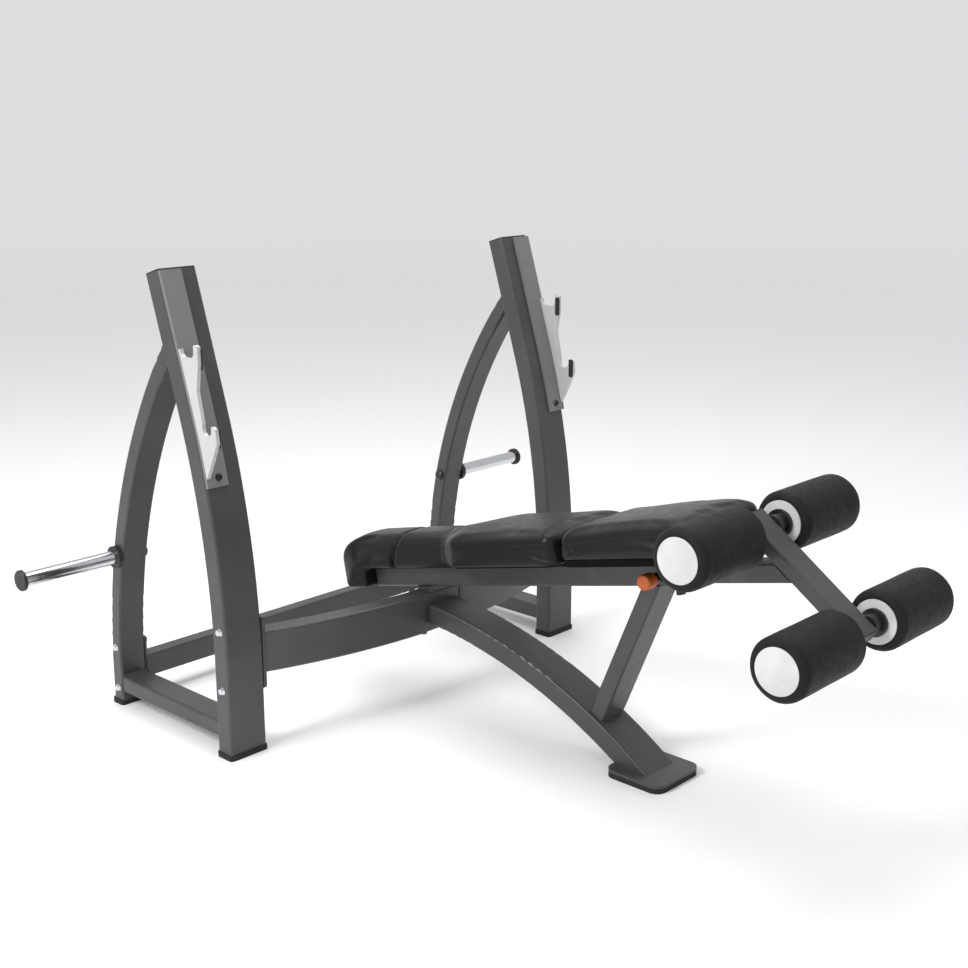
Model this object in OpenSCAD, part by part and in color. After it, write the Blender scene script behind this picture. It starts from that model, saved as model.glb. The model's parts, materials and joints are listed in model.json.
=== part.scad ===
// Olympic decline press bench: a fixed decline bench with bar uprights, plate pegs and a
// sliding leg hold. The row stands on Z = 0, +Y runs towards the head end, X = 0 is the mid-plane.

/* [Side frames] */
// Distance between the centres of the two side frames
stance_w = 1100; // [900:10:1300]
// Depth of a side frame, from the upright's front to the rear leg's back
frame_depth = 495; // [420:5:600]
// Height of the upright's top front corner
upright_h = 1095; // [900:5:1250]
// Width of the upright tube, across the bench
upright_w = 100; // [70:1:120]
// Depth of the upright tube, along the bench
upright_d = 50; // [40:1:70]
// Wall thickness of the frame tubes
tube_wall = 3; // [2:0.5:5]
// Corner radius of the frame tubes
tube_corner = 6; // [4:0.5:10]
// Height at which the upright starts to bend back
upright_bend_z = 200; // [120:5:260]
// Radius of the upright's bend, at its front face
upright_bend_r = 2000; // [1500:10:3000]
// Backward lean of the upright above its bend, in degrees
upright_lean = 17.5; // [10:0.5:20]
// Width of the rear leg tube
leg_w = 70; // [50:1:80]
// Depth of the rear leg tube
leg_d = 40; // [30:1:50]
// Height at which the rear leg starts to curve forward
leg_bend_z = 80; // [70:1:120]
// Radius of the rear leg's curve, at its front face
leg_bend_r = 1361; // [1200:1:1800]
// Height of the base tube's underside
base_z = 36; // [24:1:38]
// Height of the base tube
base_h = 40; // [30:1:50]
// Thickness of the rubber feet
rubber_h = 12; // [6:1:20]
// How far the rubber feet stand out around the tubes
rubber_rim = 3; // [1:0.5:6]

/* [Crossbeams] */
// Height of the front crossbeam's underside
beam_z = 184; // [160:2:240]
// Height of the front crossbeam tube
beam_h = 100; // [70:1:110]
// Depth of the front crossbeam tube
beam_d = 50; // [40:1:60]
// How far the front crossbeam bows out in front of the uprights
beam_bow = 84; // [60:1:100]
// Radius of the front crossbeam's front face in plan
beam_r = 1450; // [1200:10:1800]
// Thickness of the beam end flanges
flange_t = 8; // [5:0.5:12]
// Height of the front beam's end flanges
flange_h = 174; // [150:2:190]
// Height of the rear crossbeam tube
rear_beam_h = 60; // [40:1:70]
// Height of the rear crossbeam's underside
rear_beam_z = 54; // [50:1:64]
// Thickness of the rear beam's end flanges
rear_flange_t = 6; // [4:0.5:10]
// Height of the rear beam's end flanges
rear_flange_h = 134; // [120:2:150]
// Shank diameter of the frame bolts
bolt_d = 10; // [8:1:12]

/* [Centre spine] */
// Half width of the centre hub
hub_half_w = 58; // [50:1:80]
// Width of the arched spine tube
arch_w = 100; // [80:1:110]
// Depth of the arched spine tube
arch_d = 50; // [40:1:60]
// Radius of the arched spine at its underside
arch_r = 1294; // [1200:2:1400]
// Distance of the arch's centre of curvature behind the uprights' front
arch_y = 10.8; // [0:0.1:20]
// Depth of the arch's centre of curvature below the floor
arch_drop = 1085.6; // [1080:0.1:1090]
// Width of the foot plate
foot_w = 158; // [120:2:200]
// Length of the foot plate
foot_l = 150; // [130:2:200]
// Thickness of the foot plate
foot_t = 7; // [5:0.5:10]
// Width of the strut tube
strut_w = 80; // [60:1:90]
// Depth of the strut tube
strut_d = 40; // [30:1:50]
// Lean of the strut towards the foot end, in degrees
strut_lean = 22.4; // [15:0.1:28]

/* [Bench rail] */
// Slope of the bench rail, in degrees
rail_slope = 12.84; // [8:0.01:18]
// Height of the rail's underside above the uprights' front face
rail_z = 281.5; // [260:0.5:320]
// Width of the rail tube
rail_w = 80; // [70:1:90]
// Height of the rail tube
rail_h = 50; // [40:1:60]
// Reach of the rail beyond the uprights towards the head
rail_head = 112; // [90:1:130]
// Reach of the rail from the uprights towards the feet
rail_foot = 888; // [800:2:950]

/* [Cushions] */
// Width of the cushions
pad_w = 300; // [250:2:340]
// Width of the narrow head part of the back cushion
neck_w = 152; // [130:2:180]
// Length of the back cushion behind the uprights
pad_head = 212; // [160:1:240]
// Length of the back cushion in front of the uprights
back_l = 597; // [540:1:640]
// Gap between the back cushion and the seat cushion
pad_gap = 5; // [2:0.5:20]
// Length of the seat cushion
seat_l = 350; // [300:1:380]
// Height of the cushion tops above the rail's underside
pad_top = 142; // [125:1:160]
// Thickness of the boards under the cushions
board_t = 15; // [10:1:20]
// Height of the brackets between the rail and the boards
bracket_h = 16; // [10:1:24]

/* [Bar catches] */
// Width of the backing plate on the upright
plate_w = 55; // [40:1:60]
// Thickness of the backing plate
plate_t = 8; // [5:0.5:10]
// Height of the backing plate's lower end
plate_z = 630; // [580:5:640]
// Thickness of the hook plate
hook_t = 9; // [6:0.5:14]
// Height of the upper bar saddle
saddle_high = 913; // [880:1:960]
// Height of the lower bar saddle
saddle_low = 749; // [720:1:780]
// Gap of a saddle, from the backing plate to the tip
saddle_gap = 49; // [46:1:60]
// Width of the hook plate's web behind the lower saddle
hook_web = 18; // [8:1:20]

/* [Plate pegs] */
// Height of the plate pegs
peg_z = 390; // [320:2:450]
// Diameter of the peg rod
peg_d = 34; // [24:1:44]
// Reach of the peg from the leg's face to its end
peg_l = 260; // [180:5:300]
// Diameter of the collar at the leg
collar_d = 54; // [46:1:64]
// Diameter of the cap on the peg's end
peg_cap_d = 49; // [46:0.5:50]

/* [Leg hold] */
// Width of the slide tube
slide_w = 70; // [60:1:72]
// Height of the slide tube
slide_h = 40; // [30:1:42]
// Running clearance of the slide tube in its guides
slide_clear = 0.4; // [0.3:0.05:0.6]
// Travel of the leg hold
slide_travel = 120; // [80:40:120]
// Spacing of the index holes
index_pitch = 40; // [40:10:60]
// Distance from the upper to the lower roller axle
axle_spacing = 274.5; // [240:0.5:320]
// Angle of the roller post below the rail's direction, in degrees
post_angle = 48.3; // [40:0.1:60]
// Depth of the roller post tube
post_d = 30; // [30:1:40]
// Diameter of the roller axles
axle_d = 25; // [20:1:30]
// Radial running clearance between a roller and its axle
axle_clear = 0.05; // [0.02:0.01:0.1]
// Diameter of the foam rollers
foam_d = 128; // [100:1:140]
// Length of a foam roller
foam_l = 217; // [180:1:250]
// Distance from the mid-plane to a foam roller's inner end
foam_x = 71; // [60:1:90]
// Diameter of the discs on the roller ends
disc_d = 92; // [80:1:96]
// Diameter of the spacers between the post and the rollers
spacer_d = 42; // [38:1:50]
// Diameter of the hub beside a roller's inner disc
hub_d = 58; // [52:1:70]
// Diameter of the pull pin's tip
pin_d = 10; // [8:0.5:12]
// Stroke of the pull pin
pin_stroke = 12; // [11:0.5:14]
// Diameter of the pull knob
knob_d = 34; // [28:1:40]

/* [Hidden] */

$fn = 64;
// Gap between pieces that fit side by side without touching
fit_gap = 0.3;
// Length and step of the lap where a straight stretch continues a bent one
lap_l = 1;
lap_step = 0.05;
// Gap left for the weld between the hook plate and the curved backing plate
weld_gap = 0.1;
// Overrun of a cutting shape past the face that it cuts
over = 20;
side_x = stance_w / 2;
upright_in = side_x - upright_w / 2;
upright_out = side_x + upright_w / 2;
leg_in = side_x - leg_w / 2;
leg_out = side_x + leg_w / 2;
leg_cy = frame_depth - leg_d - leg_bend_r;
bend_top_y = upright_bend_r * (1 - cos(upright_lean));
bend_top_z = upright_bend_z + upright_bend_r * sin(upright_lean);
upright_top_l = (upright_h - bend_top_z) / cos(upright_lean);
roller_local = [-(rail_foot + pad_gap + foam_d / 2 + 75.4), pad_top - 33.8];
lower_local = roller_local - axle_spacing * [cos(post_angle), sin(post_angle)];
// Row y of a point given in the rail's own length and height
function rail_y(l, h) = l * cos(rail_slope) + h * sin(rail_slope);
// Row z of a point given in the rail's own length and height
function rail_zz(l, h) = rail_z - l * sin(rail_slope) + h * cos(rail_slope);
front_end = rail_y(lower_local[0], lower_local[1]) - foam_d / 2;
back_end = frame_depth + rubber_rim * 2;
// The row's origin lies under the middle of its outline
origin_y = -(front_end + back_end) / 2;
// Depth of the upright's front face at a height
function face_y(z) = z <= upright_bend_z ? 0
    : z < bend_top_z ? upright_bend_r - sqrt(pow(upright_bend_r, 2) - pow(z - upright_bend_z, 2))
    : bend_top_y + (z - bend_top_z) * tan(upright_lean);
// Depth of the backing plate's front surface at a height
function plate_y(z) = z < bend_top_z + plate_t * sin(upright_lean)
    ? upright_bend_r - sqrt(pow(upright_bend_r + plate_t, 2) - pow(z - upright_bend_z, 2))
    : face_y(z) - (plate_t + 2 * lap_step) / cos(upright_lean);
beam_cy = beam_r - beam_bow;
hub_y = beam_cy - sqrt(pow(beam_r, 2) - pow(hub_half_w, 2)) + 3;
hub_flange_x = hub_half_w + flange_t;
arch_mid_r = arch_r + arch_d / 2;
foot_top = rubber_h + foot_t;
foot_y = arch_y - sqrt(pow(arch_mid_r, 2) - pow(arch_drop + foot_top, 2)) - 22;
strut_y = -600;
strut_z = 111;
bolt_hole_d = bolt_d + 0.5;
beam_bolt_y = upright_d / 2;
beam_bolt_z = [for (side = [-1, 1]) beam_z + beam_h / 2 + side * (flange_h / 2 - 17)];
rear_bolt_z = [for (side = [-1, 1]) 95 + side * (rear_flange_h / 2 - 14)];
rear_flange_low = 95 - rear_flange_h / 2;
peg_y = leg_cy + sqrt(pow(leg_bend_r + leg_d / 2, 2) - pow(peg_z - leg_bend_z, 2));
peg_cap_l = 9;
collar_l = 12;
board_z = rail_h + bracket_h;
cushion_z = board_z + board_t;
seat_head = -(back_l + pad_gap / 2 + 2);
seat_foot = seat_head - seat_l;
bracket_ls = [-110, -460, -680, -870];
pin_l = -791;
pin_h = rail_h / 2 - 3;
slide_low = (rail_h - slide_h) / 2;
slide_head = pin_l + slide_travel + 50;
bush_l = 30;
liner_l = 50;
housing_end = 3;
collar_t = 3;
spring_room = 5;
housing_l = 2 * housing_end + spring_room + collar_t + pin_stroke + fit_gap;
collar_x = -rail_w / 2 - housing_l + housing_end + spring_room;
housing_d = 24;
knob_l = 32;
knob_rim_x = -rail_w / 2 - housing_l - 4;
knob_pocket = pin_stroke - 3;
shaft_end_x = knob_rim_x - knob_pocket - 12;
core_d = axle_d + 7;
coil_steps = 48;
disc_t = 3;
roller_out = foam_x + foam_l;
screw_d = 8;
// The roller post stays deeper than the axles that cross it, and ends beyond them
post_deep = max(post_d, axle_d + 5);
post_up = 35;
post_down = axle_d / 2 + 7.5;
post_plug_l = 5;
// Height of the head roll's underside above the rail's underside
head_low = 2;
// How far the middle of a lip guard lies in front of its saddle's tip, and its outline and thickness
guard_front = 10;
guard_w = 14;
guard_h = 48;
guard_t = 2.5;

module at_row() { translate([0, origin_y, 0]) children(); }
module on_rail() { translate([0, 0, rail_z]) rotate([-rail_slope, 0, 0]) children(); }
module both_sides() { for (side = [0, 1]) mirror([side, 0, 0]) children(); }
module left() { mirror([1, 0, 0]) children(); }

// Rectangle centred on the origin, with exact round corners
module round_rect(w, h, r) {
    square([w - 2 * r, h], center = true);
    square([w, h - 2 * r], center = true);
    for (x = [-1, 1], y = [-1, 1]) translate([x * (w / 2 - r), y * (h / 2 - r)]) circle(r);
}
// Cross-section of a rectangular tube
module tube_section(w, h, wall = tube_wall, r = tube_corner) {
    difference() {
        round_rect(w, h, r);
        round_rect(w - 2 * wall, h - 2 * wall, max(r - wall, 1));
    }
}
// Tube section or solid bar, whose middle follows an arc in the YZ plane between two angles
module arc_bar(centre, r, from, to) {
    translate([0, centre[0], centre[1]]) rotate([90, 0, 90]) rotate([0, 0, from])
        rotate_extrude(angle = to - from, $fn = 180) translate([r, 0]) children();
}
// Cylinder along X from one x to another
module rod_x(d, from, to, y = 0, z = 0) {
    translate([min(from, to), y, z]) rotate([0, 90, 0]) cylinder(d = d, h = abs(to - from));
}
// Block from one corner to the other
module block(low, high) { translate(low) cube(high - low); }
// Outline in the YZ plane, extruded along X between two values
module plate_x(from, to) {
    translate([from, 0, 0]) rotate([90, 0, 90]) linear_extrude(to - from) children();
}

// Bent tube of an upright. Its straight top laps over the bend, with a thicker wall by lap_step
module upright_tube() {
    low_l = upright_bend_z - rubber_h;
    translate([0, upright_d / 2, rubber_h]) linear_extrude(low_l) tube_section(upright_w, upright_d);
    mirror([0, 1, 0])
        arc_bar([-upright_bend_r, upright_bend_z], upright_bend_r - upright_d / 2, 0, upright_lean)
            tube_section(upright_d, upright_w);
    at_bend_top() translate([0, upright_d / 2, -lap_l]) linear_extrude(upright_top_l + lap_l)
        tube_section(upright_w + 2 * lap_step, upright_d + 2 * lap_step, tube_wall + 2 * lap_step);
}
// Places the children at the top of an upright's bend: z runs up the lean, y back from the front face
module at_bend_top() { translate([0, bend_top_y, bend_top_z]) rotate([-upright_lean, 0, 0]) children(); }
module beam_bolt_holes() {
    for (z = beam_bolt_z) rod_x(bolt_hole_d, upright_in - over, upright_out + over, beam_bolt_y, z);
}
module rear_bolt_holes() {
    for (z = rear_bolt_z) rod_x(bolt_hole_d, leg_in - over, leg_out + over, frame_depth - leg_d / 2, z);
}
module front_upright() {
    color("dimgray") difference() {
        translate([side_x, 0, 0]) upright_tube();
        beam_bolt_holes();
    }
}
module upright_caps() {
    color([0.1, 0.1, 0.1]) both_sides() translate([side_x, 0, 0]) at_bend_top()
        translate([0, upright_d / 2, upright_top_l]) {
            linear_extrude(3) round_rect(upright_w, upright_d, tube_corner);
            translate([0, 0, -12]) linear_extrude(12) round_rect(upright_w - 2 * tube_wall - 2 * fit_gap,
                upright_d - 2 * tube_wall - 2 * fit_gap, tube_corner - tube_wall);
        }
}
module rear_leg() {
    leg_top = 44;
    color("dimgray") difference() {
        translate([side_x, 0, 0]) {
            translate([0, frame_depth - leg_d / 2, rubber_h]) linear_extrude(leg_bend_z - rubber_h)
                tube_section(leg_w, leg_d);
            arc_bar([leg_cy, leg_bend_z], leg_bend_r + leg_d / 2, 0, leg_top) tube_section(leg_d, leg_w);
        }
        translate([side_x, 0, 0]) at_bend_top()
            translate([-upright_w, -200, -over]) cube([2 * upright_w, 200 + upright_d + lap_step, 500]);
        rear_bolt_holes();
        rod_x(bolt_hole_d, leg_in - over, leg_out + over, peg_y, peg_z);
    }
}
module base_tubes() {
    color("dimgray") both_sides() translate([side_x, upright_d, base_z + base_h / 2]) rotate([-90, 0, 0])
        linear_extrude(frame_depth - upright_d - leg_d) tube_section(leg_w, base_h);
}
module front_foot_rubbers() {
    color([0.08, 0.08, 0.08]) both_sides() translate([side_x, upright_d / 2, 0])
        linear_extrude(rubber_h)
            round_rect(upright_w + 2 * rubber_rim, upright_d + 2 * rubber_rim, tube_corner + rubber_rim);
}
module rear_foot_rubbers() {
    color([0.08, 0.08, 0.08]) both_sides()
        translate([side_x, frame_depth - leg_d / 2 + rubber_rim, 0]) linear_extrude(rubber_h)
            round_rect(leg_w + 2 * rubber_rim, leg_d + 2 * rubber_rim, tube_corner + rubber_rim);
}

module front_crossbeam() {
    color("dimgray") intersection() {
        translate([0, beam_cy, beam_z + beam_h / 2]) rotate([0, 0, 180 + 65])
            rotate_extrude(angle = 50, $fn = 180) translate([beam_r - beam_d / 2, 0])
                tube_section(beam_d, beam_h);
        block([hub_flange_x, -beam_bow - over, beam_z - over],
            [upright_in - flange_t, upright_d + over, beam_z + beam_h + over]);
    }
}
module front_beam_flanges() {
    color("dimgray") both_sides() {
        difference() {
            plate_x(upright_in - flange_t, upright_in)
                translate([upright_d / 2 + 4, beam_z + beam_h / 2]) round_rect(upright_d + 8, flange_h, 8);
            beam_bolt_holes();
        }
        plate_x(hub_half_w, hub_flange_x)
            translate([hub_y + beam_d / 2, beam_z + beam_h / 2]) round_rect(beam_d + 4, beam_h + 6, 4);
    }
}
module rear_crossbeam() {
    half_l = leg_in - rear_flange_t;
    color("dimgray") translate([half_l, frame_depth - leg_d / 2, rear_beam_z + rear_beam_h / 2])
        rotate([0, -90, 0]) linear_extrude(2 * half_l) tube_section(rear_beam_h, leg_d);
}
module rear_beam_flanges() {
    color("dimgray") both_sides() difference() {
        plate_x(leg_in - rear_flange_t, leg_in)
            translate([frame_depth - leg_d / 2, rear_flange_low + rear_flange_h / 2])
                round_rect(leg_d, rear_flange_h, 6);
        rear_bolt_holes();
    }
}

module centre_hub() {
    color("dimgray") translate([0, hub_y + beam_d / 2, beam_z + beam_h / 2]) rotate([90, 0, 90])
        linear_extrude(2 * hub_half_w, center = true) tube_section(beam_d, beam_h, tube_wall + 2);
}
module rail_saddle() {
    top = beam_z + beam_h;
    back = hub_y + beam_d;
    color("dimgray") plate_x(-rail_w / 2, rail_w / 2)
        polygon([[hub_y, top], [back, top], [back, rail_z - back * tan(rail_slope)],
            [hub_y, rail_z - hub_y * tan(rail_slope)]]);
}
module arch_spine() {
    color("dimgray") intersection() {
        arc_bar([arch_y, -arch_drop], arch_mid_r, 91, 128) tube_section(arch_d, arch_w);
        block([-arch_w, -1200, foot_top], [arch_w, hub_y, 400]);
    }
}
module foot_plate() {
    color("dimgray") translate([0, foot_y, rubber_h]) linear_extrude(foot_t) round_rect(foot_w, foot_l, 25);
}
module foot_pad_rubber() {
    color([0.08, 0.08, 0.08]) translate([0, foot_y, 0]) linear_extrude(rubber_h)
        round_rect(foot_w, foot_l, 25);
}
module strut() {
    color("dimgray") difference() {
        translate([0, strut_y, strut_z]) rotate([strut_lean, 0, 0]) translate([0, 0, -60])
            linear_extrude(560) tube_section(strut_w, strut_d);
        translate([0, arch_y, -arch_drop]) rotate([0, 90, 0])
            cylinder(r = arch_r + arch_d, h = 2 * strut_w, center = true, $fn = 180);
        on_rail() block([-rail_w, -rail_foot - over, 0], [rail_w, rail_head, 400]);
    }
}

module bench_rail() {
    color("dimgray") on_rail() difference() {
        translate([0, rail_head, rail_h / 2]) rotate([90, 0, 0])
            linear_extrude(rail_head + rail_foot) tube_section(rail_w, rail_h);
        rod_x(pin_d + 1, -rail_w, 0, pin_l, pin_h);
        translate([0, pin_l - 16, -over]) cylinder(d = screw_d + 0.5, h = 2 * over);
    }
}
module rail_end_cap() {
    color([0.1, 0.1, 0.1]) on_rail() translate([0, rail_head, rail_h / 2]) rotate([-90, 0, 0]) {
        linear_extrude(3) round_rect(rail_w, rail_h, tube_corner);
        translate([0, 0, -14]) linear_extrude(14)
            round_rect(rail_w - 2 * tube_wall, rail_h - 2 * tube_wall, tube_corner - tube_wall);
    }
}
module rail_mouth_liner() {
    inner_w = slide_w + 2 * slide_clear;
    inner_h = slide_h + 2 * slide_clear;
    color([0.1, 0.1, 0.1]) on_rail() translate([0, -rail_foot, rail_h / 2]) rotate([-90, 0, 0]) difference() {
        union() {
            translate([0, 0, -4]) linear_extrude(4) round_rect(rail_w, rail_h, tube_corner);
            linear_extrude(liner_l)
                round_rect(rail_w - 2 * tube_wall, rail_h - 2 * tube_wall, tube_corner - tube_wall);
        }
        translate([0, 0, -over]) linear_extrude(liner_l + 2 * over) round_rect(inner_w, inner_h, 5);
    }
}

// Backing plate on the outer half of an upright's front face
module catch_plate() {
    low_angle = 180 - asin((plate_z - upright_bend_z) / upright_bend_r);
    x = upright_out - plate_w / 2;
    color([0.5, 0.5, 0.5]) difference() {
        translate([x, 0, 0]) {
            arc_bar([upright_bend_r, upright_bend_z], upright_bend_r + plate_t / 2,
                180 - upright_lean, low_angle) square([plate_t, plate_w], center = true);
            at_bend_top() translate([-plate_w / 2 - lap_step, -plate_t - 2 * lap_step, -lap_l])
                cube([plate_w + 2 * lap_step, plate_t, upright_top_l + lap_l - 2]);
        }
        catch_bolt_holes();
    }
}
// Runs the children at the bolt of a backing plate, square to the upright's face
module at_catch_bolts() {
    z = plate_z + 20;
    translate([upright_out - plate_w / 2 - 4, face_y(z), z])
        rotate([90 - asin(min(sin(upright_lean), (z - upright_bend_z) / upright_bend_r)), 0, 0])
            children();
}
module catch_bolt_holes() { at_catch_bolts() translate([0, 0, -over]) cylinder(d = 8.5, h = 3 * over); }
module catch_bolts() {
    color([0.15, 0.15, 0.15]) both_sides() at_catch_bolts() difference() {
        union() {
            cylinder(d = 8, h = plate_t + 1);
            translate([0, 0, plate_t]) cylinder(d1 = 17, d2 = 14, h = 5);
        }
        translate([0, 0, plate_t + 2]) cylinder(d = 6 / cos(30), h = 10, $fn = 6);
    }
}
// Gap of a bar saddle from its tip's inner side, with round lower corners, open above
module saddle_slot(gap) {
    r = min(14, gap / 2 - 0.5);
    for (y = [r, gap - r]) translate([y, r]) circle(r);
    translate([r, 0]) square([gap - 2 * r, 2 * r]);
    translate([0, r]) square([gap, 60]);
}
// Hook plate: two J-hooks joined by a web that follows the backing plate
module bar_hook() {
    high = saddle_high;
    low = saddle_low;
    top = high + 16;
    bottom = low - 97;
    tip_high = plate_y(high) - saddle_gap;
    tip_low = plate_y(low) - saddle_gap;
    web_front = plate_y(low) - hook_web;
    steps = 10;
    color([0.85, 0.85, 0.87]) plate_x(upright_out - hook_t, upright_out) difference() {
        polygon([[tip_high - 6, high + 31], [tip_high - 14, high + 28],
            [tip_high - 15, high - 10], [tip_high - 8, high - 52], [tip_high - 5, high - 68],
            [web_front, low + 26], [tip_low - 6, low + 23], [tip_low - 14, low + 19],
            [tip_low - 18, low - 12], [tip_low + 13, low - 77],
            for (k = [0 : steps])
                let (z = bottom + (top - bottom) * k / steps) [plate_y(z) - weld_gap, z]]);
        translate([tip_high, high]) saddle_slot(saddle_gap - 2);
        translate([tip_low, low]) saddle_slot(saddle_gap - hook_web);
    }
}
// Dark guard clipped over the front lip of each hook
module hook_lip_guards() {
    color([0.08, 0.08, 0.08]) both_sides() for (z = [saddle_high, saddle_low])
        plate_x(upright_out - hook_t - guard_t, upright_out - hook_t)
            translate([plate_y(z) - saddle_gap - guard_front, z]) round_rect(guard_w, guard_h, 4);
}

module plate_peg() {
    color([0.85, 0.86, 0.88]) difference() {
        rod_x(peg_d, leg_out + collar_l, leg_out + peg_l - peg_cap_l, peg_y, peg_z);
        rod_x(bolt_d, leg_out, leg_out + collar_l + 30, peg_y, peg_z);
    }
}
module peg_collars() {
    color([0.1, 0.1, 0.1]) both_sides() difference() {
        rod_x(collar_d, leg_out, leg_out + collar_l, peg_y, peg_z);
        rod_x(bolt_hole_d, leg_out - over, leg_out + collar_l + over, peg_y, peg_z);
    }
}
module peg_end_caps() {
    end = leg_out + peg_l;
    color([0.1, 0.1, 0.1]) both_sides() {
        rod_x(peg_cap_d, end - peg_cap_l, end - 2, peg_y, peg_z);
        translate([end - 2, peg_y, peg_z]) rotate([0, 90, 0])
            cylinder(d1 = peg_cap_d, d2 = peg_cap_d - 4, h = 2);
    }
}
// Bolt through the leg into the peg, with a domed cap on the leg's inner face
module peg_bolts() {
    color([0.12, 0.12, 0.12]) both_sides() {
        rod_x(bolt_d, leg_in, leg_out + collar_l + 30, peg_y, peg_z);
        rod_x(30, leg_in - 5, leg_in, peg_y, peg_z);
        translate([leg_in - 5, peg_y, peg_z]) rotate([0, -90, 0]) cylinder(d1 = 30, d2 = 20, h = 4);
    }
}

// Plan outline of the back cushion: narrow at the head, flaring to the full width
module back_outline(inset) {
    half = pad_w / 2 - inset;
    neck = neck_w / 2 - inset;
    foot = -back_l + pad_gap / 2 + inset;
    head = pad_head - inset;
    r = 34 - inset;
    polygon([[-neck, head - 60], [-neck, -180], [-half, -285], [-half, foot + r], [half, foot + r],
        [half, -285], [neck, -180], [neck, head - 60]]);
    translate([0, foot + r / 2]) square([2 * (half - r), r], center = true);
    for (x = [-1, 1]) translate([x * (half - r), foot + r]) circle(r);
    translate([-neck, head - 61]) square([2 * neck, 31]);
    translate([-(neck - 30), head - 61]) square([2 * (neck - 30), 61]);
    for (x = [-1, 1]) translate([x * (neck - 30), head - 30]) circle(30);
}
module back_cushion() {
    neck_z = rail_h + 2;
    color([0.13, 0.13, 0.14]) on_rail() difference() {
        union() {
            translate([0, 0, board_z]) linear_extrude(pad_top - board_z) back_outline(0);
            translate([0, 0, neck_z]) linear_extrude(board_z - neck_z + 1) intersection() {
                back_outline(0);
                translate([-pad_w, -180]) square([2 * pad_w, 180 + pad_head]);
            }
            translate([0, 0, head_low]) linear_extrude(neck_z + 1 - head_low) intersection() {
                back_outline(0);
                translate([-pad_w, rail_head + 6]) square([2 * pad_w, pad_head]);
            }
        }
        head_slope_cut();
        translate([0, 0, neck_z - 1]) linear_extrude(cushion_z - neck_z + 1) board_outline();
    }
}
// The head part of the back cushion sits lower than its back part
module head_slope_cut() {
    plate_x(-pad_w, pad_w) polygon([[-180, pad_top + 1], [0, pad_top - 14], [pad_head + over, pad_top - 16],
        [pad_head + over, pad_top + 60], [-180, pad_top + 60]]);
}
// The back cushion's board lies within its skirt and stops short of its head end
module board_outline() {
    difference() {
        back_outline(8);
        translate([-pad_w, rail_head]) square([2 * pad_w, 200]);
    }
}
module back_board() {
    color([0.1, 0.1, 0.1]) on_rail() translate([0, 0, board_z]) linear_extrude(board_t) board_outline();
}
module seat_outline(inset) {
    translate([0, seat_head - seat_l / 2]) round_rect(pad_w - 2 * inset, seat_l - 2 * inset, 34 - inset);
}
module seat_cushion() {
    color([0.13, 0.13, 0.14]) on_rail() difference() {
        translate([0, 0, cushion_z]) linear_extrude(pad_top + 14 - cushion_z) seat_outline(0);
        plate_x(-pad_w, pad_w) polygon([[seat_head + over, pad_top - 2], [seat_head - 120, pad_top + 10],
            [seat_head - 200, pad_top + 14], [seat_head - 280, pad_top + 14], [seat_foot - over, pad_top + 8],
            [seat_foot - over, pad_top + 60], [seat_head + over, pad_top + 60]]);
    }
}
module seat_board() {
    color([0.1, 0.1, 0.1]) on_rail() translate([0, 0, board_z]) linear_extrude(board_t) seat_outline(8);
}
// Two channel brackets carry each cushion board on the rail, hidden under it
module pad_brackets() {
    bracket_w = 140;
    color("dimgray") on_rail() for (l = bracket_ls) difference() {
        w = l > -180 ? neck_w - 30 : bracket_w;
        translate([0, l, rail_h + bracket_h / 2]) cube([w, 40, bracket_h], center = true);
        translate([0, l, rail_h + (bracket_h - 4) / 2 - 0.1])
            cube([w + 1, 32, bracket_h - 3.8], center = true);
        at_pad_screws(l) translate([0, 0, -over]) cylinder(d = 6.4, h = 2 * over);
    }
}
// Runs the children at the two screws of a bracket, on the board's underside
module at_pad_screws(l) {
    x = l > -180 ? neck_w / 2 - 27 : 56;
    for (side = [-1, 1]) translate([side * x, l, board_z - 4]) children();
}
module pad_screws() {
    color([0.7, 0.7, 0.72]) on_rail() for (l = bracket_ls) at_pad_screws(l) {
        cylinder(d = 6, h = 4);
        translate([0, 0, -4]) cylinder(d = 12, h = 4);
    }
}

module slide_tube() {
    color("gray") on_rail() difference() {
        translate([0, slide_head, rail_h / 2]) rotate([90, 0, 0])
            linear_extrude(slide_head - roller_local[0] + 160) tube_section(slide_w, slide_h, tube_wall, 5);
        post_place() translate([-slide_w, post_deep / 2 - 400, -400]) cube([2 * slide_w, 400, 800]);
        for (k = [0 : round(slide_travel / index_pitch)])
            rod_x(pin_d + 1, -slide_w, 0, pin_l + k * index_pitch, pin_h);
    }
}
// Plastic shoe around the slide tube's inner end, which guides it in the rail
module slide_bush() {
    shoe_w = rail_w - 2 * tube_wall - 2 * slide_clear;
    shoe_h = rail_h - 2 * tube_wall - 2 * slide_clear;
    color([0.12, 0.12, 0.12]) on_rail() translate([0, slide_head - bush_l, rail_h / 2]) rotate([-90, 0, 0])
        difference() {
            linear_extrude(bush_l) round_rect(shoe_w, shoe_h, 4);
            translate([0, 0, -over]) linear_extrude(bush_l + 2 * over) round_rect(slide_w, slide_h, 5);
        }
}
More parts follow.
